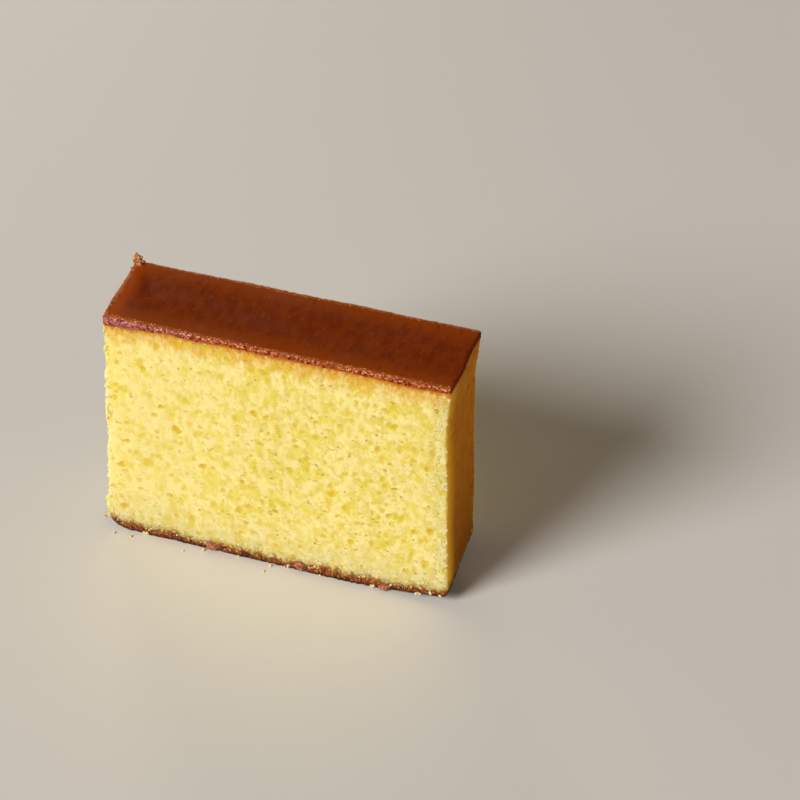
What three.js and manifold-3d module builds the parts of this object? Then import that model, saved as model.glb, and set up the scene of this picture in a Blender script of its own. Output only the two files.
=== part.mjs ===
// One slice of castella sponge cake, cut down through the loaf and stood on its base crust.
// Millimetres. +X runs along the broad cut side to its right end, -Y faces that side, +Z is up.
import * as THREE from "three";
import { mergeVertices } from "three/addons/utils/BufferGeometryUtils.js";
import Module from "manifold-3d";

// The slice as the knife leaves it.
const LENGTH = 90; // along the top crust
const THICKNESS = 23.5; // from cut to cut
const HEIGHT = 72; // from the table to the top crust
const TOP_CRUST = 2.4; // depth of the dark baked skin
const BASE_CRUST = 1.9; // depth of the thin crust underneath

// How the sponge has spread and shrunk since it was cut.
const CRUST_PROUD = 0.2; // the crust stands out from the softer crumb
const LEFT_FLARE = 5.1; // the left end reaches out this far towards its foot
const LEFT_SLANT = 1; // and its back reaches out further than its front
const LEFT_BULGE = 1.1; // with a soft bulge just above the foot
const BULGE_HEIGHT = 6.5;
const BULGE_SPREAD = 4;
const RIGHT_INSET = 0.9; // the crumb of the right end has drawn back under the crust
const RIGHT_INSET_BACK = 0.5; // and this much more at its back
const INSET_DEPTH = 14; // depth below the crust at which it is fully drawn back

// How the base curls up off the table towards its two ends.
const LEFT_CURL = 1;
const LEFT_CURL_LENGTH = 8;
const RIGHT_CURL = 2.8;
const RIGHT_CURL_BACK = 2; // the right end's back curls this much more
const RIGHT_CURL_LENGTH = 27;
const CURL_POWER = 1.3; // how slowly the curl begins
const CURL_FADE = 18; // height over which it dies away
const LEFT_FOOT = [3.6, 5.2]; // rounding of the left foot, along the base and up the end
const RIGHT_FOOT = [1.6, 1.8];

// Fineness of the surface.
const GRID = 2.4; // spacing of the surface grid
const EDGE = 0.9; // rounding of every other edge but the base's long ones
const CUT_WAVE = 0.22; // height of the slow waves that the knife leaves in the cut sides
const TOP_WAVE = 0.12; // and the oven leaves in the top skin
const WAVES_ALONG = [7, 17]; // how slowly the two crossing ripples of a wave run along a side
const WAVES_UP = [13, 8]; // and up it
const CRUMB_GRAIN = 0.2; // height of the crumb's fine relief
const CRUST_GRAIN = 0.14; // height of the cut crust's relief
const LEFT_GRAIN = 2; // the torn left end is this many times rougher
const PIT_SHARE = 0.13; // part of the grid points that are larger pores
const PIT_DEPTH = 0.9; // of the deepest, the shallowest being half as deep
const BASE_RAGGED = 0.35; // how far the torn rim of the base rises
const SEED = 41;

// Coarse sugar baked into the base crust: [place along the cut side, half width, half height].
const FRONT_SUGAR = [
  [-20.6, 2.1, 1.5],
  [4.1, 1.8, 1.6],
  [26.8, 1.6, 1.1],
];
const BACK_SUGAR_COUNT = 4;
const SUGAR_SIZE = 1.5; // mean half width of the lumps that are placed at random
const SUGAR_SPREAD = 0.3; // how far their sizes differ from the mean, as a part of it
const SUGAR_SQUAT = 0.85; // their height against their width
const SUGAR_STRAY = 0.35; // how far they stray from even spacing, as a part of it
const SUGAR_SUNK = 0.35; // part of a lump that lies inside the side it shows on
const SUGAR_CLEAR_OF_LEFT = 12; // the curled ends have none
const SUGAR_CLEAR_OF_RIGHT = 18;
const LUMP_ROUGHNESS = 0.14; // how far a lump's corners stand in or out, as a part of its radius
const LUMP_TILT = 0.5; // the furthest that it leans, in radians
const LUMP_LOWEST = 0.1; // it keeps this far clear of the table

// The tuft of crumb left standing on the rear left corner of the top.
const TUFT_SIZE = [1.5, 1.5, 1.6];
const TUFT_RISE = -0.1; // height of its middle above the crust

const CRUMB_COLOUR = new THREE.Color("#f6dc7c");
const TOP_COLOUR = new THREE.Color("#6a2a0d");
const BASE_COLOUR = new THREE.Color("#8a4a26");

const { seededRandom, smoothstep, clamp } = THREE.MathUtils;
const AXES = ["x", "y", "z"];
const HALF = new THREE.Vector3(LENGTH / 2, THICKNESS / 2, HEIGHT / 2);
seededRandom(SEED);

// A random number from -1 to 1.
function jitter() {
  return 2 * seededRandom() - 1;
}

// Evenly spaced values from low to high, about one grid step apart.
function evenly(low, high) {
  const count = Math.round((high - low) / GRID);
  return Array.from({ length: count + 1 }, (_, i) => low + ((high - low) * i) / count);
}

// Grid lines across a side of the given half width, with one at each edge's rounding.
function gridLines(half) {
  return [-half, ...evenly(EDGE - half, half - EDGE), half];
}

// Grid lines up the slice, with the crusts' own lines between base and top.
function gridLevels() {
  const crumb = evenly(BASE_CRUST, HEIGHT - TOP_CRUST - CRUST_PROUD);
  const levels = [0, ...crumb, HEIGHT - TOP_CRUST, HEIGHT - EDGE, HEIGHT];
  return levels.map((z) => z - HALF.z);
}

// Distances a and b from two faces that meet, drawn in so that their edge is round with radii ra and rb.
function roundedEdge(a, b, ra, rb) {
  if (a >= ra || b >= rb) return [a, b];
  const p = 1 - a / ra;
  const q = 1 - b / rb;
  const reach = Math.max(p, q);
  const angle = (Math.PI / 4) * (p > q ? q / p : 2 - p / q);
  return [ra * (1 - reach * Math.cos(angle)), rb * (1 - reach * Math.sin(angle))];
}

// Rounds the edge between the faces of two axes that is nearest to the point.
function roundBetween(point, first, second, ra, rb) {
  const [a, b] = roundedEdge(
    HALF[first] - Math.abs(point[first]),
    HALF[second] - Math.abs(point[second]),
    ra,
    rb,
  );
  point[first] = Math.sign(point[first]) * (HALF[first] - a);
  point[second] = Math.sign(point[second]) * (HALF[second] - b);
}

// How high the base has curled up at this place, before it dies away upwards.
function curlAt(point, backness) {
  const left = clamp(1 - (point.x + HALF.x) / LEFT_CURL_LENGTH, 0, 1);
  const right = clamp(1 - (HALF.x - point.x) / RIGHT_CURL_LENGTH, 0, 1);
  const rightCurl = RIGHT_CURL + RIGHT_CURL_BACK * backness;
  return LEFT_CURL * left ** CURL_POWER + rightCurl * right ** CURL_POWER;
}

// The form that the whole slice has taken: rounded edges, a wide left foot, a shrunk right end, a curled base.
function settle(point) {
  const isLow = point.z < 0;
  const [along, rise] = isLow ? (point.x < 0 ? LEFT_FOOT : RIGHT_FOOT) : [EDGE, EDGE];
  roundBetween(point, "x", "z", along, rise);
  if (!isLow) roundBetween(point, "y", "z", EDGE, EDGE);
  roundBetween(point, "x", "y", EDGE, EDGE);

  const height = point.z + HALF.z;
  const belowTop = HEIGHT - height;
  const backness = smoothstep(point.y, -HALF.y, HALF.y);
  const leftness = clamp(-point.x / HALF.x, 0, 1);
  const rightness = clamp(point.x / HALF.x, 0, 1);
  const bulge = LEFT_BULGE * Math.exp(-(((height - BULGE_HEIGHT) / BULGE_SPREAD) ** 2));
  const spread = (LEFT_FLARE * belowTop) / HEIGHT + LEFT_SLANT * backness + bulge;
  const inset = RIGHT_INSET + RIGHT_INSET_BACK * backness;
  const lift = curlAt(point, backness) * clamp(1 - height / CURL_FADE, 0, 1);
  point.x -= spread * leftness;
  point.x -= inset * rightness * smoothstep(belowTop, TOP_CRUST, INSET_DEPTH);
  point.z += lift;
}

// Slow waves of height one over a side, from two crossing ripples.
function wave(along, up) {
  const first = Math.sin(along / WAVES_ALONG[0] + up / WAVES_UP[0]);
  const second = Math.sin(up / WAVES_UP[1] - along / WAVES_ALONG[1]);
  return first * second;
}

// How far a grid point stands out of the side that it lies on.
function relief(point, height, isTopFace) {
  if (isTopFace) return TOP_WAVE * wave(point.x, 3 * point.y);
  const waves = CUT_WAVE * wave(point.x + 2 * point.y, height);
  if (height >= HEIGHT - TOP_CRUST) return CRUST_PROUD + waves + CRUST_GRAIN * jitter();
  const roughness = point.x <= -HALF.x + EDGE ? LEFT_GRAIN : 1;
  const isPit = seededRandom() < PIT_SHARE;
  const pit = isPit ? PIT_DEPTH * (0.5 + 0.5 * seededRandom()) : 0;
  return waves + roughness * CRUMB_GRAIN * jitter() - pit;
}

// The slice's own surface: a grid over all six sides whose points are shared where sides meet.
function sliceGeometry() {
  const lines = { x: gridLines(HALF.x), y: gridLines(HALF.y), z: gridLevels() };
  const last = AXES.map((axis) => lines[axis].length - 1);
  const indexOf = new Map();
  const positions = [];

  function place(cell) {
    const key = cell.join();
    if (indexOf.has(key)) return indexOf.get(key);
    const point = new THREE.Vector3(...AXES.map((axis, n) => lines[axis][cell[n]]));
    const sides = cell.map((c, n) => (c === last[n] ? 1 : 0) - (c === 0 ? 1 : 0));
    const height = point.z + HALF.z;
    const isOnSide = sides[0] !== 0 || sides[1] !== 0;
    const isBase = sides[2] < 0;
    const outward = new THREE.Vector3(...sides).normalize();
    const out = isBase && !isOnSide ? 0 : relief(point, height, !isOnSide);
    settle(point);
    if (isBase) outward.setZ(0);
    point.addScaledVector(outward, out);
    if (isBase && isOnSide) point.z += BASE_RAGGED * seededRandom();
    indexOf.set(key, positions.length / 3);
    positions.push(point.x, point.y, point.z + HALF.z);
    return indexOf.get(key);
  }

  // Two triangles for each cell of a side, turned so that they face out, split along either diagonal.
  const triangles = [];
  AXES.forEach((_, fixed) => {
    const u = (fixed + 1) % 3;
    const v = (fixed + 2) % 3;
    [0, last[fixed]].forEach((layer) => {
      for (let i = 0; i < last[u]; i++) {
        for (let j = 0; j < last[v]; j++) {
          const corners = [[i, j], [i + 1, j], [i + 1, j + 1], [i, j + 1]].map(([cu, cv]) => {
            const cell = [0, 0, 0];
            cell[fixed] = layer;
            cell[u] = cu;
            cell[v] = cv;
            return place(cell);
          });
          if (layer === 0) corners.reverse();
          const [a, b, c, d] = corners;
          if ((i + j) % 2) triangles.push(a, b, c, a, c, d);
          else triangles.push(a, b, d, b, c, d);
        }
      }
    });
  });
  return new THREE.BufferGeometry()
    .setAttribute("position", new THREE.Float32BufferAttribute(positions, 3))
    .setIndex(triangles);
}

// An angular lump with the given half sizes, turned at random, its lowest point no lower than the table.
function lumpGeometry(centre, halfSizes, detail) {
  const rough = new THREE.IcosahedronGeometry(1, detail);
  rough.deleteAttribute("normal");
  rough.deleteAttribute("uv");
  const lump = mergeVertices(rough);
  const corner = new THREE.Vector3();
  const turn = new THREE.Euler(LUMP_TILT * jitter(), LUMP_TILT * jitter(), Math.PI * jitter());
  for (let i = 0; i < lump.attributes.position.count; i++) {
    corner.fromBufferAttribute(lump.attributes.position, i);
    corner.applyEuler(turn).multiplyScalar(1 + LUMP_ROUGHNESS * jitter());
    corner.multiply(new THREE.Vector3(...halfSizes)).add(centre);
    lump.attributes.position.setXYZ(i, corner.x, corner.y, Math.max(corner.z, LUMP_LOWEST));
  }
  return lump;
}

// A lump of sugar at the foot of a cut side: side is -1 for the front and 1 for the back.
function sugarGeometry(x, side, halfWidth, halfHeight) {
  const depth = HALF.y - SUGAR_SUNK * halfWidth;
  const centre = new THREE.Vector3(x, side * depth, halfHeight);
  return lumpGeometry(centre, [halfWidth, halfWidth, halfHeight], 0);
}

// The lumps that show along the front, and some like them along the back.
function allSugar() {
  const lumps = FRONT_SUGAR.map(([x, width, height]) => sugarGeometry(x, -1, width, height));
  const firstX = SUGAR_CLEAR_OF_LEFT - HALF.x;
  const spacing = (LENGTH - SUGAR_CLEAR_OF_LEFT - SUGAR_CLEAR_OF_RIGHT) / BACK_SUGAR_COUNT;
  for (let i = 0; i < BACK_SUGAR_COUNT; i++) {
    const x = firstX + spacing * (i + 0.5 + SUGAR_STRAY * jitter());
    const size = SUGAR_SIZE * (1 + SUGAR_SPREAD * jitter());
    lumps.push(sugarGeometry(x, 1, size, SUGAR_SQUAT * size));
  }
  return lumps;
}

// The tuft sits on the corner where the left end and the back meet the top.
function tuftGeometry() {
  const centre = new THREE.Vector3(
    TUFT_SIZE[0] - HALF.x - LEFT_SLANT - EDGE,
    HALF.y - TUFT_SIZE[1] + EDGE / 2,
    HEIGHT + TUFT_RISE,
  );
  return lumpGeometry(centre, TUFT_SIZE, 1);
}

const wasm = await Module();
wasm.setup();

function solidOf(geometry) {
  return new wasm.Manifold(
    new wasm.Mesh({
      numProp: 3,
      vertProperties: new Float32Array(geometry.attributes.position.array),
      triVerts: new Uint32Array(geometry.index.array),
    }),
  );
}

function geometryOf(solid) {
  const { vertProperties, triVerts } = solid.getMesh();
  return new THREE.BufferGeometry()
    .setAttribute("position", new THREE.BufferAttribute(vertProperties, 3))
    .setIndex(new THREE.BufferAttribute(triVerts, 1));
}

// Crust brown above and below, crumb yellow between, by height alone.
function colourByHeight(geometry) {
  const colours = [];
  for (let i = 0; i < geometry.attributes.position.count; i++) {
    const z = geometry.attributes.position.getZ(i);
    const isTop = z > HEIGHT - TOP_CRUST - CRUST_PROUD / 2;
    const colour = isTop ? TOP_COLOUR : z < BASE_CRUST ? BASE_COLOUR : CRUMB_COLOUR;
    colours.push(colour.r, colour.g, colour.b);
  }
  geometry.setAttribute("color", new THREE.Float32BufferAttribute(colours, 3));
}

// Puts the origin under the middle of the slice, on the table.
function standOnOrigin(geometry) {
  geometry.computeBoundingBox();
  const { min, max } = geometry.boundingBox;
  geometry.translate(-(min.x + max.x) / 2, -(min.y + max.y) / 2, -min.z);
}

let cake = solidOf(sliceGeometry());
for (const geometry of [...allSugar(), tuftGeometry()]) cake = cake.add(solidOf(geometry));

const cakeGeometry = geometryOf(cake);
colourByHeight(cakeGeometry);
standOnOrigin(cakeGeometry);
cakeGeometry.computeVertexNormals();

const slice = new THREE.Mesh(
  cakeGeometry,
  new THREE.MeshStandardMaterial({ vertexColors: true, roughness: 0.85, metalness: 0 }),
);
slice.name = "castella_slice";

const group = new THREE.Group();
group.add(slice);

export default group;
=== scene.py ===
"""A slice of castella, the Japanese honey sponge cake, standing on its base crust.

The loaf is baked in a wooden frame, its sides are trimmed off and slices are cut across it.
Shapes are worked out in millimetres, in the slice's own box, and placed in metres.
"""

import math

import bmesh
import bpy
import numpy as np
from mathutils import Color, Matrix, Quaternion, Vector, noise


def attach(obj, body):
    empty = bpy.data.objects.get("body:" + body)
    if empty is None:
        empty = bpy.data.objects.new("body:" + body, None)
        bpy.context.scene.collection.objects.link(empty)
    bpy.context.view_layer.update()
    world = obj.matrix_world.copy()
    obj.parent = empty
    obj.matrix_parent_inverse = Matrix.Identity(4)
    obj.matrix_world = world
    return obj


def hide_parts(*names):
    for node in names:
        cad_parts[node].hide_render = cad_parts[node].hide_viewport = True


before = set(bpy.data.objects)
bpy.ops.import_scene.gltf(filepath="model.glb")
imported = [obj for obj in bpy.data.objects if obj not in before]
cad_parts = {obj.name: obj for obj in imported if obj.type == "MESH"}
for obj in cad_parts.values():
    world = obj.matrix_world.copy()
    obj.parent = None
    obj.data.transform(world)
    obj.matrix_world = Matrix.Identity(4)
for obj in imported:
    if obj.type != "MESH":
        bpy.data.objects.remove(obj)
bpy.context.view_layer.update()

# ---- Crumb ---------------------------------------------------------------------------
# The sponge itself: eggs, sugar, flour and honey, beaten to a foam and baked. The knife
# leaves it nearly flat and opens its bubbles, which the rise has drawn out upwards. Since
# the cut its left end has spread towards the foot and its base has curled up at both ends.

LENGTH = 90.0  # along the top crust
THICKNESS = 23.5  # from cut to cut
HEIGHT = 72.0  # from the table to the top skin
MIDDLE = (3.09, 0.02)  # of the top, from the origin: the flared left end reaches out further
EDGE = 0.5  # rounding of the cut edges

TOP_CRUST = 1.7  # mean depth of the dark baked skin
TOP_CRUST_LEFT = 1.25  # and this much more at the left end of the front
TOP_CRUST_LEFT_LENGTH = 9.0
TOP_STRAY = (0.32, 0.22)  # how far its lower rim strays, slowly and finely
BASE_CRUST = 1.7  # mean depth of the thin crust underneath
BASE_CRUST_LEFT = (0.6, 5.0)  # and how much thinner at the left foot, over what length
BASE_CRUST_LEAST = 0.8
BASE_STRAY = (0.9, 1.1)
STRAY_BREADTHS = (9.0, 1.3)

LEFT_FLARE = 5.1  # how far the left end reaches out towards its foot
LEFT_SLANT = 1.0  # and its back further than its front
LEFT_BULGE = 1.1
BULGE_HEIGHT = 6.5
BULGE_SPREAD = 4.0
RIGHT_INSET = 0.9  # the right end has drawn back under its crust
RIGHT_INSET_BACK = 0.5
INSET_DEPTH = 14.0
LEFT_CURL = 1.0  # how far the base has curled up at its ends
LEFT_CURL_LENGTH = 8.0
RIGHT_CURL = 2.8
RIGHT_CURL_BACK = 2.0
RIGHT_CURL_LENGTH = 27.0
CURL_POWER = 1.3
CURL_FADE = 18.0
LEFT_FOOT = (3.6, 5.2)  # rounding of the left foot, along the base and up the end
RIGHT_FOOT = (1.6, 1.8)

CRUMB_STEP = 0.43  # between the points of the cut sides
CRUMB_INSIDE = (0.4, 1.2)  # how far off base and top it ends, inside the crusts
CRUMB_SHY = 0.6  # how far it draws in under them
SHY_FADE = (-0.5, 0.1)  # from how far inside their rims, to how far outside
CUT_WAVE = 0.2  # height of the knife's waves
WAVES_ALONG = (7.0, 17.0)  # and their lengths over two pi, along the slice and up it
WAVES_UP = (13.0, 8.0)
WAVE_SQUEEZE = 2.0  # how much they are squeezed across the slice
FOAM = ((0.05, 0.9), (0.05, 2.2))  # heights and breadths of the foam's own bumps
HOLLOWS = ((0.2, 1.1, 0.14), (0.4, 2.3, 0.18))  # depths, breadths and rarity of its ragged hollows
HOLLOW_STRETCH = 1.5
LEFT_ROUGH = 2.6  # the torn left end is this many times rougher
RIGHT_SMOOTH = 0.7  # and the right end smoother by this share
RIGHT_TURN = (0.4, 0.95)  # how far a point faces right, where that end starts and where it is full
EDGE_CRUMBLE = (0.26, 0.95, 1.4)  # height, breadth and reach of the bumps along the cut edges
LEFT_CRUMBLE = 3.0  # the left edges' bumps are this many times higher
BUBBLE_WARP = (0.5, 1.1)  # how far the bubbles' outlines stray, over what breadth
BUBBLE_SORTS = (  # per square centimetre, half width from and to, depth for it, goldenness
    (7.0, 0.3, 0.5, 0.6, 0.0),
    (3.0, 0.5, 0.85, 0.5, 0.1),
    (0.45, 0.55, 0.95, 0.6, 0.9),
)
BUBBLE_STRETCH = (0.6, 1.5)  # their height for their width
DEEP_BUBBLE = 0.42  # depth at which a bubble shows its full deeper yellow: its own tint and painted shade in its hollow

CALM_ALONG = (-30.0, 0.0)  # places between which the finer, paler crumb of the left end fades
CALM_UP = (2.0, 24.0)  # and heights over the base crust between which it sets in
DRY_LEFT, DRY_RIGHT = 2.5, 8.0  # how far from its ends the crumb has dried
DRY_UP = (1.0, 7.0)  # and heights over the base crust between which that fades
END_SHADE = 0.72  # how far painted shade darkens the right end at its base
END_SHADE_REACH = 60.0  # and over what height that would fall by one
GLOW = 7.0  # how far the light from the front glows through the right end
BASE_GREY = 17.0  # height over the base crust up to which the crumb is greyer
RISEN = (1, 1, 1.2)  # how far the rise has stretched its pattern, each way
PATCH = 2.6  # breadths of its deeper patches, its grain and the cells of its foam
GRAIN = 0.55
CELL = 1.25
CELL_STRETCH = (1, 1, 1.6)
CELL_BEND = (1.3, 2.2)  # over what breadth the outlines of the cells stray, and how far
WALL_PATCH = 1.6  # breadth of the places where the walls of the cells show
SLIT = 1.2  # breadth of the torn cells, whose shade is painted as dark narrow marks
SLIT_STRETCH = (1.5, 1.5, 1)
DUST = (0.5, 1.7)  # breadths of the dust's grains, and of the places where it lies
TOAST = (7.2, 1.0)  # depths under the top crust between which the crumb becomes toasted
TOAST_STRAY = ((7.0, 2.6), (8.0, 0.8))  # how far that strays, slowly and finely, over what breadths
TOAST_STRETCH = (1, 1, 2.2)  # of the fine strays
FRAY = (5.5, 0.8)  # how far the darker crumb along the base crust strays, over what breadth
CRUMB_GRAIN_DEPTH = 0.07

CRUMB_MAP_SIDE = 146.0  # breadth of its flat map
CRUMB_MAP = {  # left, low and scale of each side there
    "front": (1, 1, 1),
    "back": (1, 73, 1),
    "right": (93, 1, 1),
    "left": (93, 73, 1),
    "top": (119, 1, 0.2),
    "base": (119, 8, 0.2),
}

SEED = 5  # of every random draw
MILLIMETRE = 0.001
half = np.array((LENGTH, THICKNESS, HEIGHT)) / 2  # of the box that the slice was before it settled
rng = np.random.default_rng(SEED)


def ripples(points, breadth, seed):
    """Smooth random heights from about -1 to 1, with bumps about as broad as given.

    Each seed gives other heights, so that no two reliefs are alike.
    """
    shift = Vector((3.7, 1.3, 9.1)) * seed
    return np.array([noise.noise(Vector(point) / breadth + shift) for point in points])


def bumps(points, rows, seed):
    """Random relief: the sum of ripples with the heights and breadths in the rows."""
    return sum(size * ripples(points, breadth, seed + n) for n, (size, breadth) in enumerate(rows))


def smoothstep(value, low, high):
    """Rises softly from 0 to 1 while the value goes from low to high."""
    share = np.clip((value - low) / (high - low), 0, 1)
    return share * share * (3 - 2 * share)


def stray(points, heights, seed):
    """How far the rim of a crust strays from its mean, at points round the slice."""
    return bumps(points * (1, 1, 0), zip(heights, STRAY_BREADTHS), seed)


def top_rim(points):
    """Height of the top crust's lower rim."""
    left = np.exp(-(((points[:, 0] + half[0]) / TOP_CRUST_LEFT_LENGTH) ** 2))
    front = smoothstep(-points[:, 1], -half[1], half[1])
    depth = TOP_CRUST + TOP_CRUST_LEFT * left * front
    return half[2] - depth - stray(points, TOP_STRAY, 1)


def base_rim(points):
    """Height of the base crust's upper rim."""
    thinner, length = BASE_CRUST_LEFT
    depth = BASE_CRUST - thinner * np.exp(-(((points[:, 0] + half[0]) / length) ** 2))
    return np.maximum(depth + stray(points, BASE_STRAY, 5), BASE_CRUST_LEAST) - half[2]


def round_edge(points, first, second, radii, chosen):
    """Draws the chosen points in round the edge between the sides of two axes."""
    axes = [first, second]
    near = 1 - (half[axes] - np.abs(points[:, axes])) / radii
    p, q = near.T
    at_edge = chosen & (p > 0) & (q > 0)
    p, q = p[at_edge], q[at_edge]
    angle = math.pi / 4 * np.where(p > q, q / p, 2 - p / q)
    turned = np.stack([np.cos(angle), np.sin(angle)], 1)
    drawn_in = radii[at_edge] * (1 - np.maximum(p, q)[:, None] * turned)
    rows = np.flatnonzero(at_edge)[:, None]
    points[rows, axes] = np.sign(points[rows, axes]) * (half[axes] - drawn_in)


def settled(points):
    """Points of the slice's box and the outward directions there, as the slice has settled."""
    points = points.copy()
    everywhere = np.full(len(points), True)
    is_low = points[:, 2] < 0
    cut_edge = np.full((len(points), 2), EDGE)
    foot = np.where(points[:, :1] < 0, LEFT_FOOT, RIGHT_FOOT)
    round_edge(points, 0, 2, np.where(is_low[:, None], foot, cut_edge), everywhere)
    round_edge(points, 1, 2, cut_edge, ~is_low)
    round_edge(points, 0, 1, cut_edge, everywhere)
    outward = points - np.clip(points, EDGE - half, half - EDGE)
    outward[is_low, 2] = 0
    outward /= np.maximum(np.linalg.norm(outward, axis=1, keepdims=True), 1e-9)

    x, y, z = points.T
    height = z + half[2]
    below_top = HEIGHT - height
    backness = smoothstep(y, -half[1], half[1])
    leftness = np.clip(-x / half[0], 0, 1)
    rightness = np.clip(x / half[0], 0, 1)
    bulge = LEFT_BULGE * np.exp(-(((height - BULGE_HEIGHT) / BULGE_SPREAD) ** 2))
    spread = LEFT_FLARE * below_top / HEIGHT + LEFT_SLANT * backness + bulge
    inset = RIGHT_INSET + RIGHT_INSET_BACK * backness
    left_curl = np.clip(1 - (x + half[0]) / LEFT_CURL_LENGTH, 0, 1) ** CURL_POWER
    right_curl = np.clip(1 - (half[0] - x) / RIGHT_CURL_LENGTH, 0, 1) ** CURL_POWER
    curl = LEFT_CURL * left_curl + (RIGHT_CURL + RIGHT_CURL_BACK * backness) * right_curl
    points[:, 2] += curl * np.clip(1 - height / CURL_FADE, 0, 1)
    points[:, 0] -= inset * rightness * smoothstep(below_top, TOP_CRUST, INSET_DEPTH)
    points[:, 0] -= spread * leftness
    return points, outward


class Slab:
    """A closed block over the slice's whole outline, between two levels.

    Its sides are rings of points, one above the other, that run round from the front left
    corner. Where its top or base shows, that is a grid, and otherwise a row of long strips.
    """

    def __init__(self, step, low, high, shows_top=False, shows_base=False):
        x, y = (np.linspace(-half[n], half[n], round(2 * half[n] / step) + 1) for n in (0, 1))
        last_x, last_y = len(x) - 1, len(y) - 1
        ring = [(a, y[0]) for a in x[:-1]] + [(x[-1], b) for b in y[:-1]]
        ring += [(a, y[-1]) for a in x[:0:-1]] + [(x[0], b) for b in y[:0:-1]]
        ring = np.array([(*place, 0.0) for place in ring])
        self.around = len(ring)
        spans = [x - x[0], y - y[0], LENGTH - (x - x[0])[::-1], THICKNESS - (y - y[0])[::-1]]
        starts = np.cumsum([0, LENGTH, THICKNESS, LENGTH])
        self.along = np.concatenate([start + span[:-1] for start, span in zip(starts, spans)])

        lows, highs = (
            level(ring) if callable(level) else np.full(len(ring), level) for level in (low, high)
        )
        rise = (highs - lows).mean()
        shares = np.linspace(0, 1, round(rise / step) + 1)
        self.rings = len(shares)
        sides = np.repeat(ring[None], self.rings, 0)
        sides[:, :, 2] = lows + np.outer(shares, highs - lows)
        self.points = sides.reshape(-1, 3)
        self.sides = len(self.points)

        self.faces, self.layout = [], []
        cells = [
            (side, a, b)
            for side, span in zip(("front", "right", "back", "left"), spans)
            for a, b in zip(span, span[1:])
        ]
        for level in range(self.rings - 1):
            low_v, high_v = rise * shares[level], rise * shares[level + 1]
            for column, (side, a, b) in enumerate(cells):
                here = level * self.around + column
                after = level * self.around + (column + 1) % self.around
                self.faces.append((here, after, after + self.around, here + self.around))
                self.layout.append((side, ((a, low_v), (b, low_v), (b, high_v), (a, high_v))))

        for level, shows in ((0, shows_base), (self.rings - 1, shows_top)):
            loop = level * self.around + np.arange(self.around)
            grid = np.zeros((last_x + 1, last_y + 1), int)
            grid[:-1, 0], grid[-1, :-1], grid[:0:-1, -1], grid[0, :0:-1] = np.split(
                loop, np.cumsum([last_x, last_y, last_x])
            )
            if shows:
                inside = [(a, b, self.points[loop[0], 2]) for a in x[1:-1] for b in y[1:-1]]
                count = len(self.points) + np.arange(len(inside))
                grid[1:-1, 1:-1] = count.reshape(last_x - 1, last_y - 1)
                self.points = np.concatenate([self.points, inside])
                cells = [(i, j) for i in range(last_x) for j in range(last_y)]
                rounds = [((i, j), (i + 1, j), (i + 1, j + 1), (i, j + 1)) for i, j in cells]
            else:
                strips = range(1, last_x - 1)
                rounds = [((i, 0), (i + 1, 0), (i + 1, last_y), (i, last_y)) for i in strips]
                left_end = [(0, j) for j in range(last_y, 0, -1)]
                right_end = [(last_x, j) for j in range(last_y + 1)]
                rounds.append([(0, 0), (1, 0), (1, last_y), *left_end])
                rounds.append([(last_x - 1, 0), *right_end, (last_x - 1, last_y)])
            for corners in rounds:
                corners = corners if level else corners[::-1]
                self.faces.append(tuple(int(grid[corner]) for corner in corners))
                flat = tuple((x[i] - x[0], y[j] - y[0]) for i, j in corners)
                self.layout.append(("top" if level else "base", flat))


def make_piece(name, points, faces, finish):
    """A mesh piece from points in millimetres round the slice's middle, which moves with the cake."""
    mesh = bpy.data.meshes.new(name)
    mesh.from_pydata((points + (*MIDDLE, half[2])) * MILLIMETRE, [], faces)
    mesh.shade_smooth()
    mesh.materials.append(finish.material)
    made = bpy.data.objects.new(name, mesh)
    bpy.context.scene.collection.objects.link(made)
    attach(made, "root")
    return made


def lay_flat(made, layout, places, width):
    """Gives each side its own place on a flat map, so that no two share a part of it."""
    corners = []
    for side, flat in layout:
        left, low, scale = places[side]
        corners += [((left + u * scale) / width, (low + v * scale) / width) for u, v in flat]
    flat_map = made.data.uv_layers.new(name="OFBake")
    flat_map.uv.foreach_set("vector", np.array(corners, np.float32).ravel())


def record_on(made, **values):
    """Keeps values for a mesh's points under their names, for its material to read."""
    for name, value in values.items():
        made.data.attributes.new(name, "FLOAT", "POINT").data.foreach_set("value", value)


def colour(code):
    """A colour for a shader, from a web colour code."""
    red, green, blue = (int(code[n : n + 2], 16) / 255 for n in (1, 3, 5))
    return (*Color((red, green, blue)).from_srgb_to_scene_linear(), 1)


class Wire:
    """An output of a shader node. Sums with it add the Math nodes that work them out."""

    def __init__(self, finish, socket):
        self.finish, self.socket = finish, socket

    def sum(self, operation, first, second):
        """Adds one Math node, and returns its output."""
        return self.finish.node("ShaderNodeMath", {"operation": operation}, {0: first, 1: second})

    def __add__(self, other):
        return self.sum("ADD", self, other)

    def __sub__(self, other):
        return self.sum("SUBTRACT", self, other)

    def __rsub__(self, other):
        return self.sum("SUBTRACT", other, self)

    def __mul__(self, other):
        return self.sum("MULTIPLY", self, other)

    __radd__, __rmul__ = __add__, __mul__


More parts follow.
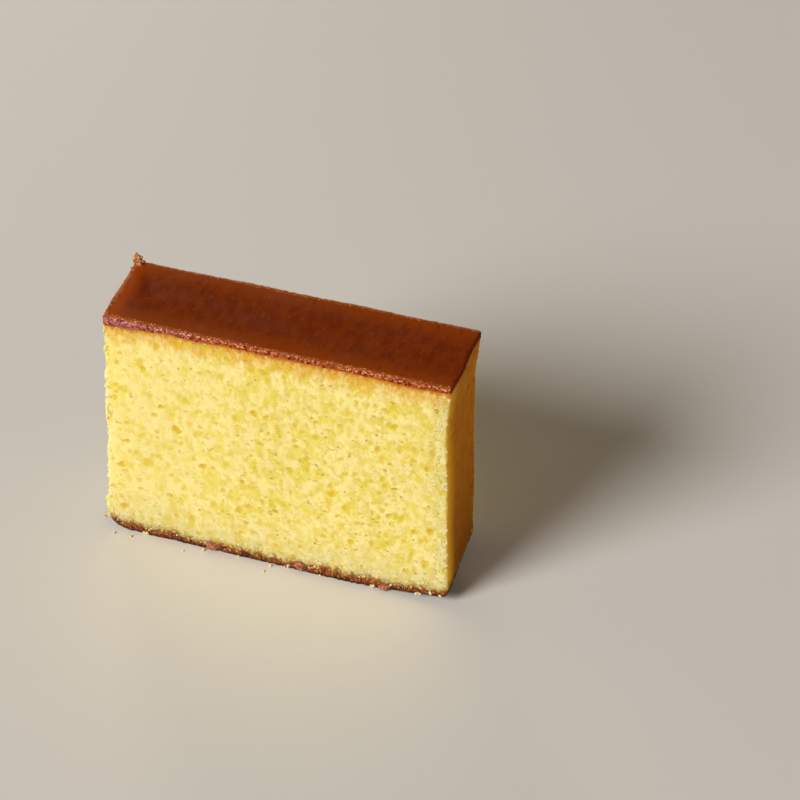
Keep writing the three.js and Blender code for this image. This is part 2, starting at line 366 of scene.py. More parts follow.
class Finish:
    """A material, with constant values on its shader and nodes for what varies."""

    def __init__(self, name, **constants):
        self.material = bpy.data.materials.new(name)
        self.material.use_nodes = True
        self.tree = self.material.node_tree
        self.shader = self.tree.nodes["Principled BSDF"]
        for socket, value in constants.items():
            self.shader.inputs[socket.replace("_", " ")].default_value = value

    def node(self, kind, settings, inputs, output=0):
        """Adds a node, sets it up, gives its inputs their values or links, and returns an output."""
        made = self.tree.nodes.new(kind)
        for name, value in settings.items():
            setattr(made, name, value)
        for name, value in inputs.items():
            if isinstance(value, Wire):
                self.tree.links.new(value.socket, made.inputs[name])
            else:
                made.inputs[name].default_value = value
        return Wire(self, made.outputs[output])

    def place(self, stretch=(1, 1, 1)):
        """Where a point of the piece lies, in millimetres, each way divided by its stretch."""
        here = self.node("ShaderNodeTexCoord", {}, {}, "Object")
        per_metre = [1 / (MILLIMETRE * part) for part in stretch]
        return self.node("ShaderNodeVectorMath", {"operation": "MULTIPLY"}, {0: here, 1: per_metre})

    def recorded(self, name):
        """What was kept for the points of the piece under this name."""
        return self.node("ShaderNodeAttribute", {"attribute_name": name}, {}, "Fac")

    def clouds(self, place, breadth, detail=2.0):
        """Soft random patches from 0 to 1, about as broad as given in millimetres."""
        inputs = {"Vector": place, "Scale": 1 / breadth, "Detail": detail}
        return self.node("ShaderNodeTexNoise", {}, inputs, "Fac")

    def cells(self, place, breadth):
        """Distance from the middle of the nearest random cell, and a random share for each cell."""
        inputs = {"Vector": place, "Scale": 1 / breadth}
        distance = self.node("ShaderNodeTexVoronoi", {}, inputs, "Distance")
        tint = Wire(self, distance.socket.node.outputs["Color"])
        return distance, self.node("ShaderNodeSeparateColor", {}, {0: tint})

    def bend(self, place, breadth, amount):
        """A place strayed by the given amount, so that what is drawn there isn't straight."""
        inputs = {"Vector": place, "Scale": 1 / breadth, "Detail": 3.0}
        way = self.node("ShaderNodeTexNoise", {}, inputs, "Color")
        inputs = {0: way, 1: (amount, amount, amount), 2: place}
        return self.node("ShaderNodeVectorMath", {"operation": "MULTIPLY_ADD"}, inputs)

    def walls(self, place, breadth):
        """Distance from the nearest wall between random cells, as a part of their breadth."""
        settings = {"feature": "DISTANCE_TO_EDGE"}
        inputs = {"Vector": place, "Scale": 1 / breadth}
        return self.node("ShaderNodeTexVoronoi", settings, inputs, "Distance")

    def ramp(self, value, low, high):
        """Rises softly from 0 to 1 while the value goes from low to high."""
        inputs = {"Value": value, "From Min": low, "From Max": high}
        return self.node("ShaderNodeMapRange", {"interpolation_type": "SMOOTHSTEP"}, inputs)

    def mix(self, share, first, second):
        """A share of the second colour over the first, each a web colour code or a wire."""
        first, second = (colour(tint) if isinstance(tint, str) else tint for tint in (first, second))
        return self.node("ShaderNodeMix", {"data_type": "RGBA"}, {0: share, 6: first, 7: second}, 2)

    def layers(self, paint, *rows):
        """Lays colours over a paint, one after another, each by its share."""
        for share, tint in rows:
            paint = self.mix(share, paint, tint)
        return paint

    def bump(self, height, depth):
        """Fine relief of the given depth in millimetres, from a height between 0 and 1."""
        return self.node("ShaderNodeBump", {}, {"Height": height, "Distance": depth * MILLIMETRE})

    def drive(self, socket, wire):
        """Links a wire to an input of the shader."""
        self.tree.links.new(wire.socket, self.shader.inputs[socket])


def cut_open(along, up, warps):
    """Depth and goldenness of the bubbles that the knife has opened, over all four sides."""
    depth, gold = np.zeros(warps[0].shape), np.zeros(warps[0].shape)
    girth = 2 * (LENGTH + THICKNESS)
    area = girth * (up[-1] - up[0]) / 100  # in square centimetres
    for each, least, most, deep, tint in BUBBLE_SORTS:
        for _ in range(round(each * area)):
            middle, height = rng.uniform(0, girth), rng.uniform(up[0], up[-1])
            wide = rng.uniform(least, most)
            tall = wide * rng.uniform(*BUBBLE_STRETCH)
            across = (along - middle + girth / 2) % girth - girth / 2
            columns = np.flatnonzero(np.abs(across) < wide + 2 * BUBBLE_WARP[0])
            rows = np.flatnonzero(np.abs(up - height) < tall + 2 * BUBBLE_WARP[0])
            block = np.ix_(rows, columns)
            u = (across[columns] + warps[0][block]) / wide
            v = (up[rows, None] - height + warps[1][block]) / tall
            bowl = np.clip(1 - u * u - v * v, 0, 1)
            depth[block] = np.maximum(depth[block], deep * wide * np.sqrt(bowl))
            gold[block] = np.maximum(gold[block], tint * np.sqrt(bowl))
    return depth.ravel(), gold.ravel()


def knife_waves(points):
    """Slow waves from -1 to 1 that the knife leaves on the cut sides."""
    x, y, z = points.T
    along = x + WAVE_SQUEEZE * y
    swing = np.sin(along / WAVES_ALONG[0] + z / WAVES_UP[0])
    return swing * np.sin(z / WAVES_UP[1] - along / WAVES_ALONG[1])


slab = Slab(CRUMB_STEP, CRUMB_INSIDE[0] - half[2], half[2] - CRUMB_INSIDE[1])
points, outward = settled(slab.points)
x, y, z = slab.points.T
warps = [BUBBLE_WARP[0] * ripples(slab.points, BUBBLE_WARP[1], seed) for seed in (11, 12)]
warps = [warp.reshape(slab.rings, slab.around) for warp in warps]
depth, gold = cut_open(slab.along, slab.points[:: slab.around, 2], warps)
right_end = smoothstep(outward[:, 0], *RIGHT_TURN)
foam = bumps(slab.points, FOAM, 20)
foam *= np.where(x < EDGE - half[0], LEFT_ROUGH, 1) * (1 - RIGHT_SMOOTH * right_end)
to_edge = (half[0] - np.abs(x)) + (half[1] - np.abs(y))
crumble = EDGE_CRUMBLE[0] * ripples(slab.points, EDGE_CRUMBLE[1], 31)
crumble *= (1 - smoothstep(to_edge, 0, EDGE_CRUMBLE[2])) * np.where(x < 0, LEFT_CRUMBLE, 1)
below_top = top_rim(slab.points) - z
above_base = z - base_rim(slab.points)
shy = CRUMB_SHY * (1 - smoothstep(np.minimum(below_top, above_base), *SHY_FADE))
hollow = np.zeros(len(x))
for n, (deep, breadth, rarity) in enumerate(HOLLOWS):
    heights = ripples(slab.points * (1, 1, 1 / HOLLOW_STRETCH), breadth, 35 + n)
    hollow += deep * np.maximum(heights - rarity, 0)
depth = np.maximum(depth, hollow * (1 - RIGHT_SMOOTH * right_end))
relief = CUT_WAVE * knife_waves(slab.points) + foam + crumble - depth - shy
points += outward * relief[:, None]

finish = Finish(
    "crumb",
    Roughness=0.7,
    Specular_IOR_Level=0.08,
    Subsurface_Weight=0.8,
    Subsurface_Radius=(1.0, 0.85, 0.15),
    Subsurface_Scale=0.007,
)
place = finish.place(RISEN)
patches = finish.clouds(place, PATCH, 1.0)
grain = finish.clouds(place, GRAIN)
bent = finish.bend(finish.place(CELL_STRETCH), *CELL_BEND)
_, cell = finish.cells(bent, CELL)
walls = finish.ramp(finish.walls(bent, CELL), 0.15, 0.0)
walls *= finish.ramp(finish.clouds(place, WALL_PATCH), 0.42, 0.66)
shaded_slits = finish.ramp(finish.clouds(finish.place(SLIT_STRETCH), SLIT, 1.0), 0.34, 0.2)
pore = finish.ramp(finish.recorded("pore"), 0.05, 0.7)
calm, dry, at_end = (finish.recorded(name) for name in ("calm", "dry", "end"))
dust = finish.clouds(place, DUST[0])
dusty = finish.ramp(dry, 0.2, 0.8) * finish.ramp(finish.clouds(place, DUST[1]), 0.36, 0.56)

slow, torn = (
    size * (finish.clouds(way, breadth) - 0.5)
    for (size, breadth), way in zip(TOAST_STRAY, (place, finish.place(TOAST_STRETCH)))
)
frayed = FRAY[0] * (finish.clouds(place, FRAY[1]) - 0.5)
under_skin = finish.recorded("below_top")
over_base = finish.recorded("above_base")
greyer = finish.ramp(over_base, BASE_GREY, 0.0)
cut_paint = finish.layers(
    finish.mix(finish.ramp(patches, 0.3, 0.58), "#e2d060", "#ebdb8f"),
    (calm * 0.25, "#f2e18e"),
    (dry * 0.6, "#d9cc92"),
    (greyer * (0.46 + 0.5 * calm), "#c8be8e"),
    (finish.ramp(under_skin + slow + torn, *TOAST) * 0.88, "#dc9e32"),
    (finish.ramp(grain, 0.48, 0.75) * 0.2, "#f8e6a8"),
    (finish.ramp(cell, 0.5, 0.8) * 0.3, "#f6e4a4"),
    (finish.ramp(cell, 0.22, 0.06) * (0.5 - 0.25 * calm), "#dcc234"),
    (walls * (0.42 - 0.2 * calm), "#c4a832"),
    # painted shade in torn cells
    (shaded_slits * (0.82 + 0.18 * dry - 0.3 * calm), "#ac8e10"),
    # deeper yellow in the opened bubbles, by their depth: their own tint and painted shade in their
    # hollows
    (pore * 0.75, "#dac22c"),
    (dusty * finish.ramp(dust, 0.45, 0.33) * 0.7, "#96905a"),
    (dusty * finish.ramp(dust, 0.56, 0.68) * 0.6, "#fdecbc"),
    (finish.recorded("gold") * 0.5, "#dcae2a"),
)
# The right end is painted a deeper, darker gold than the cut sides: painted shade, for the shade that
# end lies in, darker still towards the base, with a painted glow of light near the front edge.
shaded_end_paint = finish.layers(
    finish.mix(finish.ramp(patches, 0.36, 0.64), "#bb6a02", "#c57503"),
    (over_base * (-1 / END_SHADE_REACH) + END_SHADE, "#703a00"),
    # painted shade in the torn cells and opened bubbles of the right end
    (shaded_slits * 0.12 + pore * 0.4, "#8a4800"),
    (finish.recorded("glow") * 0.9, "#f0b424"),
)
paint = finish.layers(
    cut_paint,
    (at_end, shaded_end_paint),
    (finish.ramp(over_base + frayed, 3.2, 0.4) * 0.68, "#b0843c"),
    (finish.ramp(over_base + frayed, 1.5, 0.1) * 0.9, "#9a5822"),
    (finish.ramp(under_skin + 0.4 * torn, 1.6, 0.0), "#cc8228"),
)
finish.drive("Base Color", paint)
height = grain * 0.6 + (1 - shaded_slits) * 0.2 + (1 - walls) * 0.1
finish.drive("Normal", finish.bump(height * (1 - RIGHT_SMOOTH * at_end), CRUMB_GRAIN_DEPTH))

inner = smoothstep(half[0] - x, 0, DRY_RIGHT) * smoothstep(x + half[0], 0, DRY_LEFT)
crumb = make_piece("crumb", points, slab.faces, finish)
record_on(
    crumb,
    pore=np.clip(depth / DEEP_BUBBLE, 0, 1),
    gold=gold,
    below_top=below_top,
    above_base=above_base,
    calm=(1 - smoothstep(x, *CALM_ALONG)) * smoothstep(above_base, *CALM_UP),
    dry=1 - inner * smoothstep(above_base, *DRY_UP),
    end=right_end,
    glow=1 - smoothstep(half[1] + y, 0, GLOW),
)
lay_flat(crumb, slab.layout, CRUMB_MAP, CRUMB_MAP_SIDE)
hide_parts("castella_slice")

# ---- Top crust -----------------------------------------------------------------------
# The skin that faced the oven's heat: thin, dark red-brown and a little shiny, smooth on
# top, and moist and grainy where the knife has cut it. It is baked on to the crumb and
# stands a little proud of it.

TOP_STEP = 0.3
TOP_PROUD = 0.15
TOP_WAVE = 0.12  # height of the skin's slow swells, and how much they are squeezed across it
TOP_WAVE_SQUEEZE = 3.0
SKIN_WRINKLE = ((0.05, 3.5), (0.025, 1.2))
CUT_GRAIN = ((0.13, 0.75), (0.06, 0.35))
RIM_CRUMBLE = (0.16, 0.9, 0.9)
LEFT_RIDGE = (0.3, 0.9, 0.7)  # height, breadth and reach of the bumps along the left rim
LEFT_RIDGE_MEAN = 0.6  # how far they stand out on average, as a part of that height
LEFT_RIDGE_DEPTH = 1.5  # how far down the end they reach

SKIN_STRETCH = (1, 1.8, 1)  # how far the skin's pattern is stretched, each way
BLOTCH = 2.2  # breadths of its soft blotches, dark dots and pale flecks
DOT = 2.0
FLECK = 0.8
CUT_GLOSS = 0.5  # breadth of the moist grains on its cut sides
SKIN_GRAIN = (0.5, 0.16)  # breadth and depth of its finest grain
SKIN_TURN = (0.3, 0.9)  # how far a point faces up or right, where that side starts and is full
PALE_LEFT = 6.0  # how far the paler left end of the skin reaches
WARM = 8.0  # how far its warmer long edges reach
BRINK = (0.1, 1.8)  # distances from its left and long edges between which their grit fades
PINK = (0.85, 0.05)  # how pink the cut sides are at the left, and further along
PINK_REACH = (2.0, 36.0)
RIM = (1.3, 0.2)  # depths between which the cut sides become paler towards the skin
LOWER = 0.8  # how far up from the crumb they are orange-brown
RIDGE = (0.3, 1.2)  # how far the crumbly left rim reaches

CRUST_MAP_SIDE = 92.0  # breadth of the flat map of each crust
CRUST_MAP = {
    "front": (1, 1, 1),
    "back": (1, 6, 1),
    "right": (1, 11, 1),
    "left": (26, 11, 1),
    "top": (1, 17, 1),
    "base": (1, 42, 1),
}

slab = Slab(TOP_STEP, top_rim, half[2], shows_top=True)
points, outward = settled(slab.points)
x, y, z = slab.points.T
on_skin = smoothstep(outward[:, 2], *SKIN_TURN)
wrinkles = bumps(slab.points, SKIN_WRINKLE, 40)
grain = bumps(slab.points, CUT_GRAIN, 50)
across = TOP_WAVE_SQUEEZE * y
swell = TOP_WAVE * np.sin(x / WAVES_ALONG[0] + across / WAVES_UP[0])
swell *= np.sin(across / WAVES_UP[1] - x / WAVES_ALONG[1])
side_relief = TOP_PROUD + CUT_WAVE * knife_waves(slab.points) + grain
crumble = RIM_CRUMBLE[0] * ripples(slab.points, RIM_CRUMBLE[1], 55)
to_rim = np.minimum(half[0] - np.abs(x), half[1] - np.abs(y)) + half[2] - z
crumble *= 1 - smoothstep(to_rim, 0, RIM_CRUMBLE[2])
relief = on_skin * (swell + wrinkles) + (1 - on_skin) * side_relief
points += outward * (relief + crumble)[:, None]
at_left = np.exp(-(((x + half[0]) / LEFT_RIDGE[2]) ** 2))
ridge = at_left * (LEFT_RIDGE_MEAN + ripples(slab.points, LEFT_RIDGE[1], 57))
near_skin = smoothstep(z, half[2] - LEFT_RIDGE_DEPTH, half[2])
points[:, 2] += LEFT_RIDGE[0] * np.maximum(ridge, 0) * near_skin

finish = Finish("top_crust", Specular_IOR_Level=0.03)
place = finish.place()
drawn_out = finish.place(SKIN_STRETCH)
cut_side = 1 - finish.ramp(finish.recorded("skin"), 0.35, 0.7)
blotches = finish.clouds(drawn_out, BLOTCH, 4.0)
to_dot, chance = finish.cells(drawn_out, DOT)
dots = (1 - finish.ramp(to_dot, 0.1, 0.34)) * finish.ramp(chance, 0.5, 0.8)
flecks = finish.ramp(finish.clouds(drawn_out, FLECK), 0.58, 0.7)
to_grain, tint = finish.cells(place, CUT_GLOSS)
moist = finish.ramp(to_grain, 0.5, 0.2)
rim, brink, shaded, pink = (finish.recorded(name) for name in ("rim", "brink", "right", "pink"))
# shine: painted glints of light on the moist grains of the cut sides, more towards the skin and fewer
# on the shaded right end; there the cut sides are also glossier
shine = moist * finish.ramp(tint + 0.3 * rim - 0.4 * shaded, 0.74, 0.93)
grit = finish.ramp(brink, 0.0, 0.2) * moist * finish.ramp(brink + 0.9 * tint, 1.15, 1.4)
varied = finish.ramp(tint, 0.0, 0.9)
skin_paint = finish.layers(
    finish.mix(finish.ramp(blotches, 0.3, 0.7), "#6b2303", "#7b2f04"),
    (finish.recorded("warm") * 0.9, "#8e3b05"),
    (finish.recorded("left"), "#a84507"),
    (dots * 0.42, "#541a04"),
    (flecks * 0.3, "#944e2c"),
    (finish.ramp(brink + 0.6 * tint, 0.5, 1.3) * 0.6, "#b0622e"),
    (grit, "#dca078"),
)
side_paint = finish.layers(
    finish.mix(varied, "#6c2008", "#ac501c"),
    (pink, finish.mix(varied, "#6c263c", "#b06a68")),
    (rim * finish.ramp(tint, 0.1, 0.6) * 0.5, finish.mix(pink, "#c07440", "#dca48c")),
    # painted shade on the cut band of the right end
    (shaded * 0.8, "#6a1e0a"),
    # painted glints
    (shine, "#f4bc9c"),
    (finish.ramp(finish.recorded("lower") + 0.6 * tint, 0.7, 1.3), "#c46c1e"),
)
crumbly = finish.mix(finish.ramp(tint, 0.2, 0.9), "#8e4420", "#c88a5c")
paint = finish.layers(skin_paint, (cut_side, side_paint), (finish.recorded("ridge") * 0.75, crumbly))
finish.drive("Base Color", paint)
finish.drive("Roughness", 0.42 + 0.1 * blotches + cut_side * (0.18 - 0.3 * shine))
height = finish.clouds(place, SKIN_GRAIN[0], 3.0) * (0.12 + 0.88 * cut_side)
finish.drive("Normal", finish.bump(height, SKIN_GRAIN[1]))

top_crust = make_piece("top_crust", points, slab.faces, finish)
record_on(
    top_crust,
    skin=on_skin,
    left=1 - smoothstep(x + half[0], 0, PALE_LEFT),
    pink=PINK[0] + (PINK[1] - PINK[0]) * smoothstep(x + half[0], *PINK_REACH),
    brink=1 - smoothstep(np.minimum(half[0] + x, half[1] - np.abs(y)), *BRINK),
    warm=1 - smoothstep(half[1] - np.abs(y), 0, WARM),
    # how far a point faces right, which sets the painted shade on the right end's cut band
    right=smoothstep(outward[:, 0], *SKIN_TURN),
    ridge=1 - smoothstep(x + half[0] + 0.5 * ripples(slab.points, LEFT_RIDGE[1], 58), *RIDGE),
    rim=(1 - on_skin) * smoothstep(z, half[2] - RIM[0], half[2] - RIM[1]),
    lower=1 - smoothstep(z - top_rim(slab.points), 0, LOWER),
)
lay_flat(top_crust, slab.layout, CRUST_MAP, CRUST_MAP_SIDE)

# ---- Base crust ----------------------------------------------------------------------
# The thin brown crust that lay on the paper. It tears into a ragged rim when the cake is
# sliced, and follows the base where that curls up off the table.

BASE_STEP = 0.4
BASE_PROUD = 0.12
BASE_GRAIN = ((0.3, 1.3), (0.14, 0.6))
BASE_PAINTED_SHADE = (2.4, 0.8)  # heights between which it turns almost black towards the table: a darker underside, deepened by painted shade
BASE_STRETCH = (1, 1, 2.5)  # of its streaks
BASE_STREAK = 1.1  # breadths of its streaks, its redder parts and the crumb that clings to it
BASE_RED = 5.0
BASE_CLING = 0.55
BASE_ROUGH = (0.8, 0.25)  # breadth and depth of its finest grain

slab = Slab(BASE_STEP, -half[2], base_rim, shows_base=True)
points, outward = settled(slab.points)
on_side = np.arange(len(points)) < slab.sides
grain = bumps(slab.points, BASE_GRAIN, 60)
points += outward * (on_side * (BASE_PROUD + grain))[:, None]
points[:, 2] = np.maximum(points[:, 2], -half[2])

finish = Finish("base_crust", Roughness=0.7, Specular_IOR_Level=0.15)
place = finish.place()
grain = finish.clouds(place, BASE_ROUGH[0], 3.0)
streaks = finish.clouds(finish.place(BASE_STRETCH), BASE_STREAK, 3.0)
paint = finish.layers(
    finish.mix(finish.ramp(streaks, 0.38, 0.62), "#582507", "#9e5c20"),
    (finish.ramp(finish.clouds(place, BASE_RED), 0.46, 0.6) * 0.7, "#86341a"),
    (finish.ramp(finish.clouds(place, BASE_CLING), 0.57, 0.68) * 0.8, "#dcac54"),
    # almost black towards the table: painted shade under the slice
    (finish.ramp(finish.recorded("height") + 1.6 * grain, *BASE_PAINTED_SHADE) * 0.85, "#280f06"),
)
finish.drive("Base Color", paint)
finish.drive("Normal", finish.bump(grain, BASE_ROUGH[1]))

base_crust = make_piece("base_crust", points, slab.faces, finish)
record_on(base_crust, height=slab.points[:, 2] + half[2])
lay_flat(base_crust, slab.layout, CRUST_MAP, CRUST_MAP_SIDE)

# ---- Sugar ---------------------------------------------------------------------------
# Coarse sugar is strewn on the paper before baking. It half melts into the base crust and
# shows as rough brown lumps along its foot.

FRONT_SUGAR = ((-20.6, 2.1, 1.5), (4.1, 1.8, 1.6), (26.8, 1.6, 1.1))  # place, half width, half height
BACK_SUGAR = ((-29.6, 1.4, 1.2), (-7.3, 1.3, 1.1), (2.3, 1.8, 1.5), (21.6, 1.5, 1.3))
SUGAR_SUNK = 0.35
SUGAR_DETAIL = 4
SUGAR_FACETS = ((0.22, 0.75), (0.1, 0.35))
SUGAR_GRAIN = (0.5, 0.2)  # breadth and depth


def ball(detail):
    """Points and faces of a round ball of triangles."""
    shape = bmesh.new()
    bmesh.ops.create_icosphere(shape, subdivisions=detail, radius=1)
    points = np.array([vertex.co for vertex in shape.verts])
    faces = np.array([[vertex.index for vertex in face.verts] for face in shape.faces])
    shape.free()
    return points, faces


def lumps(places, sizes, detail, facets):
    """One mesh of rough lumps, each turned and dented its own way."""
    round_points, round_faces = ball(detail)
    all_points, all_faces = [], []
    for n, (middle, size) in enumerate(zip(places, sizes)):
        turn = Quaternion(rng.normal(size=4)).normalized().to_matrix()
        shape = round_points @ np.array(turn)
        roughness = sum(depth * ripples(shape, breadth, 70 + n) for depth, breadth in facets)
        shape = shape * (1 + roughness)[:, None] * size + middle
        shape[:, 2] = np.maximum(shape[:, 2], -half[2])
        all_faces.append(round_faces + n * len(round_points))
        all_points.append(shape)
    return np.concatenate(all_points), np.concatenate(all_faces)


sides = [(-1, row) for row in FRONT_SUGAR] + [(1, row) for row in BACK_SUGAR]
places = [(x, side * (half[1] - SUGAR_SUNK * wide), tall - half[2]) for side, (x, wide, tall) in sides]
sizes = [(wide, wide, tall) for _, (_, wide, tall) in sides]
points, faces = lumps(places, sizes, SUGAR_DETAIL, SUGAR_FACETS)

finish = Finish("sugar", Specular_IOR_Level=0.5, Subsurface_Weight=0.2, Subsurface_Scale=0.001)
place = finish.place()
grain = finish.clouds(place, SUGAR_GRAIN[0], 3.0)
paint = finish.layers(
    finish.mix(finish.ramp(grain, 0.35, 0.6), "#7a3420", "#b06a48"),
    (finish.ramp(grain, 0.6, 0.72), "#e0b090"),
)
finish.drive("Base Color", paint)
finish.drive("Roughness", 0.55 - 0.25 * grain)
finish.drive("Normal", finish.bump(grain, SUGAR_GRAIN[1]))
make_piece("sugar", points, faces.tolist(), finish)

# ---- Loose crumbs --------------------------------------------------------------------
# Crumbs that the knife has dragged out: a tan tuft left standing on the rear left corner of
# the top, tan beads along the rim below it, and pale ones along the cut edges and at the foot.

TUFT = (-45.2, 10.6, 72.45)  # middle of the tuft, with its height from the table
TUFT_REACH = (1.5, 1.1, 1.8)
TUFT_CORE = 9  # larger crumbs up its axis, between two parts of its reach
TUFT_CORE_SPAN = (-0.95, 0.55)
TUFT_CORE_WANDER = 0.25
TUFT_CORE_SIZE = (0.6, 0.85)
TUFT_LUMPS = 120  # small ones round them, which keep closer to the axis towards the tip
TUFT_LUMP_WANDER = (0.6, 0.3)
TUFT_LUMP_SIZE = (0.16, 0.42)
RIM_BEADS = 90  # on the left end of the top crust, at these depths
RIM_BEAD_DEPTHS = (1.6, 0.1)
RIM_BEAD_SIZE = (0.12, 0.3)
FOOT_CRUMBS = (-47.0, -35.5, 0.7, 24.4, 37.0, 40.3, 43.1)  # the larger ones at the front foot
FOOT_CRUMB_HEIGHT = 0.4
FOOT_CRUMB_PROUD = 0.15
FOOT_CRUMB_LUMPS = 4
FOOT_CRUMB_SIZE = (0.2, 0.45)
FOOT_CRUMB_REACH = (0.35, 0.12, 0.2)
STREWN = 24  # on the table at the front and the back
STREWN_SIZE = (0.18, 0.45)
STREWN_REACH = 4 / 3  # their mean distance from the cut sides
STREWN_PAST_LEFT = 5.0
EDGE_CLUSTERS = 90  # of beads along the upright edges, none of them near table or top
EDGE_CLEAR = 3.0
EDGE_BEADS = 230
EDGE_SCATTER = 0.8
EDGE_BEAD_SIZE = (0.1, 0.4)
FOOT_BEADS = 230  # along the rim of the base crust, below and above it
FOOT_BEAD_SPAN = (-0.7, 0.9)
HANGING_BEADS = 46  # under the rim of the top crust, at this mean depth
HANGING_REACH = 0.7
BEAD_SIZE = (0.1, 0.3)
BEAD_SUNK = 0.15
BEAD_TALLNESS = 1.2
CRUMB_DETAIL = 2
CRUMB_FACETS = ((0.45, 0.9), (0.2, 0.4))
CRUMB_TINTS = (0.5, 0.8)  # breadths of the tints on the crumbs of the crust, and on the others
CRUMB_ROUGH = (0.3, 0.15)  # breadth and depth of their finest grain

places, sizes = [], []


def add_crumb(place, span, tallness=1.0):
    """Adds one crumb, with a half width between two values, and so much taller than wide."""
    size = rng.uniform(*span)
    places.append(place)
    sizes.append((size, size, size * tallness))


def add_to_tuft(off_axis, up, span):
    """Adds a crumb to the tuft, placed by parts of the tuft's reach."""
    add_crumb(np.array(TUFT) - (0, 0, half[2]) + np.array((*off_axis, up)) * TUFT_REACH, span)


for up in np.linspace(*TUFT_CORE_SPAN, TUFT_CORE):
    add_to_tuft(rng.normal(size=2) * TUFT_CORE_WANDER, up, TUFT_CORE_SIZE)
wanders = np.linspace(*TUFT_LUMP_WANDER, TUFT_LUMPS)
for up, wander in zip(np.linspace(-1, 1, TUFT_LUMPS), wanders):
    add_to_tuft((rng.normal(size=2) * wander).clip(-1, 1), up, TUFT_LUMP_SIZE)

deepest, highest = half[2] - RIM_BEAD_DEPTHS
rim_beads = rng.uniform((-1, -1, deepest), (-1, 1, highest), (RIM_BEADS, 3)) * (half[0], half[1], 1)
for bead in settled(rim_beads)[0]:
    add_crumb(bead, RIM_BEAD_SIZE)
crust_crumbs = len(places)

foot = np.array([(x, -half[1], FOOT_CRUMB_HEIGHT - half[2]) for x in FOOT_CRUMBS])
for middle in settled(foot)[0] - (0, FOOT_CRUMB_PROUD, 0):
    for _ in range(FOOT_CRUMB_LUMPS):
        add_crumb(middle + rng.normal(size=3) * FOOT_CRUMB_REACH, FOOT_CRUMB_SIZE)
for _ in range(STREWN):
    x = rng.uniform(-half[0] - STREWN_PAST_LEFT, half[0])
    y = rng.choice((-1, 1)) * (half[1] + rng.exponential(STREWN_REACH))
    add_crumb((x, y, STREWN_SIZE[0] - half[2]), STREWN_SIZE)

clusters = rng.choice((-1, 1), (EDGE_CLUSTERS, 3)) * half
clusters[:, 2] = rng.uniform(EDGE_CLEAR - half[2], half[2] - EDGE_CLEAR, EDGE_CLUSTERS)
edge = rng.choice(clusters, EDGE_BEADS)
edge[:, 2] += rng.normal(size=EDGE_BEADS) * EDGE_SCATTER
drawn_in = rng.exponential(EDGE_SCATTER, (EDGE_BEADS, 2)) * rng.integers(0, 2, (EDGE_BEADS, 2))
drawn_in[edge[:, 0] > 0, 1] = 0  # none on the smooth right end
edge[:, :2] *= 1 - drawn_in / half[:2]
foot = rng.uniform(-half, half, (FOOT_BEADS, 3))
on_end = rng.uniform(size=FOOT_BEADS) < THICKNESS / (LENGTH + THICKNESS)
foot[on_end, 0] = np.sign(foot[on_end, 0]) * half[0]
foot[~on_end, 1] = np.sign(foot[~on_end, 1]) * half[1]
foot[:, 2] = base_rim(foot) + rng.uniform(*FOOT_BEAD_SPAN, FOOT_BEADS)
hanging = rng.uniform(-half, half, (HANGING_BEADS, 3))
hanging[:, 1] = np.sign(hanging[:, 1]) * half[1]
hanging[:, 2] = top_rim(hanging) - rng.exponential(HANGING_REACH, HANGING_BEADS)
beads, outward = settled(np.concatenate([edge, foot, hanging]))
for n, bead in enumerate(beads - outward * BEAD_SUNK):
    add_crumb(bead, EDGE_BEAD_SIZE if n < EDGE_BEADS else BEAD_SIZE, BEAD_TALLNESS)
points, faces = lumps(places, sizes, CRUMB_DETAIL, CRUMB_FACETS)

finish = Finish("loose_crumb", Roughness=0.75, Specular_IOR_Level=0.25)
place = finish.place()
on_crust, on_cut = (finish.clouds(place, breadth) for breadth in CRUMB_TINTS)
paint = finish.layers(
    finish.mix(finish.ramp(on_cut, 0.35, 0.6), "#f8e8c0", "#e6d088"),
    (finish.recorded("tan"), finish.mix(finish.ramp(on_crust, 0.4, 0.6), "#a45a30", "#e8b484")),
)
finish.drive("Base Color", paint)
finish.drive("Normal", finish.bump(finish.clouds(place, CRUMB_ROUGH[0], 3.0), CRUMB_ROUGH[1]))
loose_crumb = make_piece("loose_crumb", points, faces.tolist(), finish)
tan = np.arange(len(places)) < crust_crumbs
record_on(loose_crumb, tan=np.repeat(tan, len(points) // len(tan)))

# ---- Studio --------------------------------------------------------------------------
# A plain pale floor, one large soft light from the front left, and weak warm ones from the
# right and from behind.

FLOOR_HALF = 12.0  # in metres, as all places below
FLOOR_COLOUR = (0.72, 0.70, 0.67, 1)
LIGHT_AIM = (0, 0, 0.035)  # half way up the slice
KEY = ((-2.52, -3.72, 3.00), 2.7, 317.0, (1.0, 0.98, 0.95))  # place, breadth, power and colour
FILL = ((6.75, -3.15, 4.05), 7.2, 63.0, (1.0, 0.68, 0.35))
BACK = ((-1.4, 2.2, 0.3), 0.8, 26.0, (1.0, 0.83, 0.6))
SKY = ((0.42, 0.405, 0.38), (0.072, 0.064, 0.053))  # at the horizon, and above
SKY_HEIGHTS = (0.12, 0.35)  # sines of the elevations between which it darkens


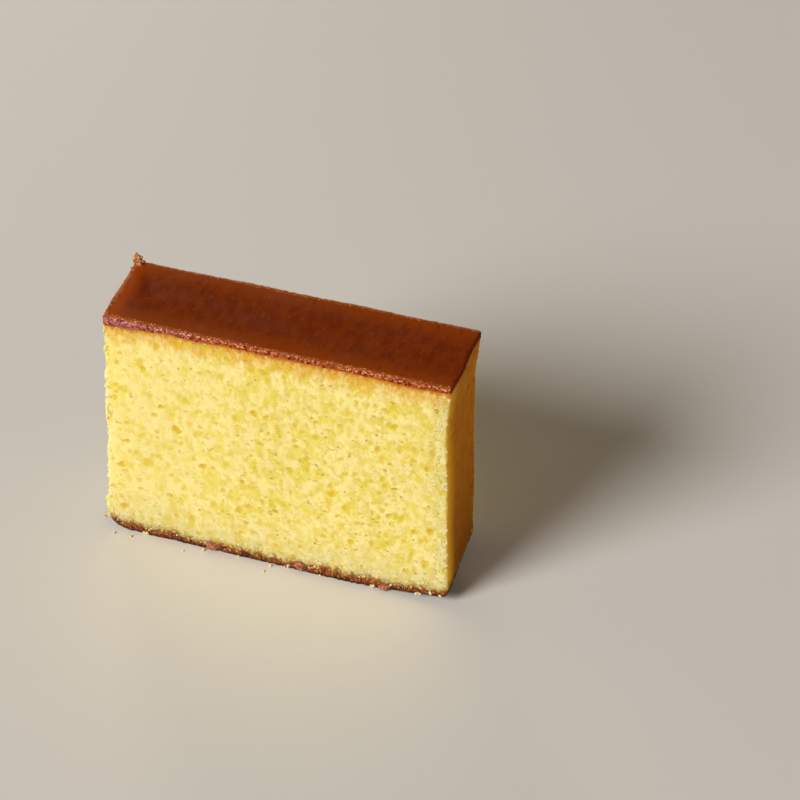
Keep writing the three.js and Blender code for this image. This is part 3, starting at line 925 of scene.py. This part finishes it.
def add_light(name, row):
    """A round soft light that shines on the slice."""
    spot, size, power, tint = row
    light = bpy.data.lights.new(name, "AREA")
    light.shape = "DISK"
    light.size, light.energy, light.color = size, power, tint
    made = bpy.data.objects.new(name, light)
    made.location = spot
    made.rotation_mode = "QUATERNION"
    made.rotation_quaternion = (Vector(LIGHT_AIM) - Vector(spot)).to_track_quat("-Z", "Y")
    bpy.context.scene.collection.objects.link(made)


add_light("key", KEY)
add_light("fill", FILL)
add_light("back", BACK)


class Sky(Finish):
    """The far surroundings: pale round the horizon and dim above it."""

    def __init__(self):
        self.world = bpy.data.worlds.new("studio")
        self.world.use_nodes = True
        self.tree = self.world.node_tree
        self.shader = self.tree.nodes["Background"]
        direction = self.node("ShaderNodeTexCoord", {}, {}, "Generated")
        height = self.node("ShaderNodeSeparateXYZ", {}, {0: direction}, "Z")
        low, high = ((*tint, 1) for tint in SKY)
        self.drive("Color", self.mix(self.ramp(height, *SKY_HEIGHTS), low, high))


bpy.context.scene.world = Sky().world

floor_mesh = bpy.data.meshes.new("floor")
corners = [(-1, -1), (1, -1), (1, 1), (-1, 1)]
floor_mesh.from_pydata([(FLOOR_HALF * x, FLOOR_HALF * y, 0) for x, y in corners], [], [(0, 1, 2, 3)])
floor_mesh.materials.append(Finish("floor", Base_Color=FLOOR_COLOUR, Roughness=0.6).material)
floor = bpy.data.objects.new("floor", floor_mesh)
bpy.context.scene.collection.objects.link(floor)

# ---- Camera --------------------------------------------------------------------------
# It looks down on the slice from in front of its right end.

CAMERA_PLACE = (0.18173, -0.41515, 0.42891)
CAMERA_AIM = (-0.26027, 0.71729, -0.64634)
CAMERA_ROLL = -1.048  # in degrees
CAMERA_LENS = 106.15
CAMERA_SENSOR = 36.0
CAMERA_NEAR = 0.01

camera_data = bpy.data.cameras.new("camera")
camera_data.lens = CAMERA_LENS
camera_data.sensor_width = CAMERA_SENSOR
camera_data.clip_start = CAMERA_NEAR
camera = bpy.data.objects.new("camera", camera_data)
camera.location = CAMERA_PLACE
camera.rotation_mode = "QUATERNION"
roll = Quaternion((0, 0, 1), math.radians(CAMERA_ROLL))
camera.rotation_quaternion = Vector(CAMERA_AIM).to_track_quat("-Z", "Y") @ roll
bpy.context.scene.collection.objects.link(camera)
bpy.context.scene.camera = camera
bpy.context.scene.view_settings.view_transform = "Standard"
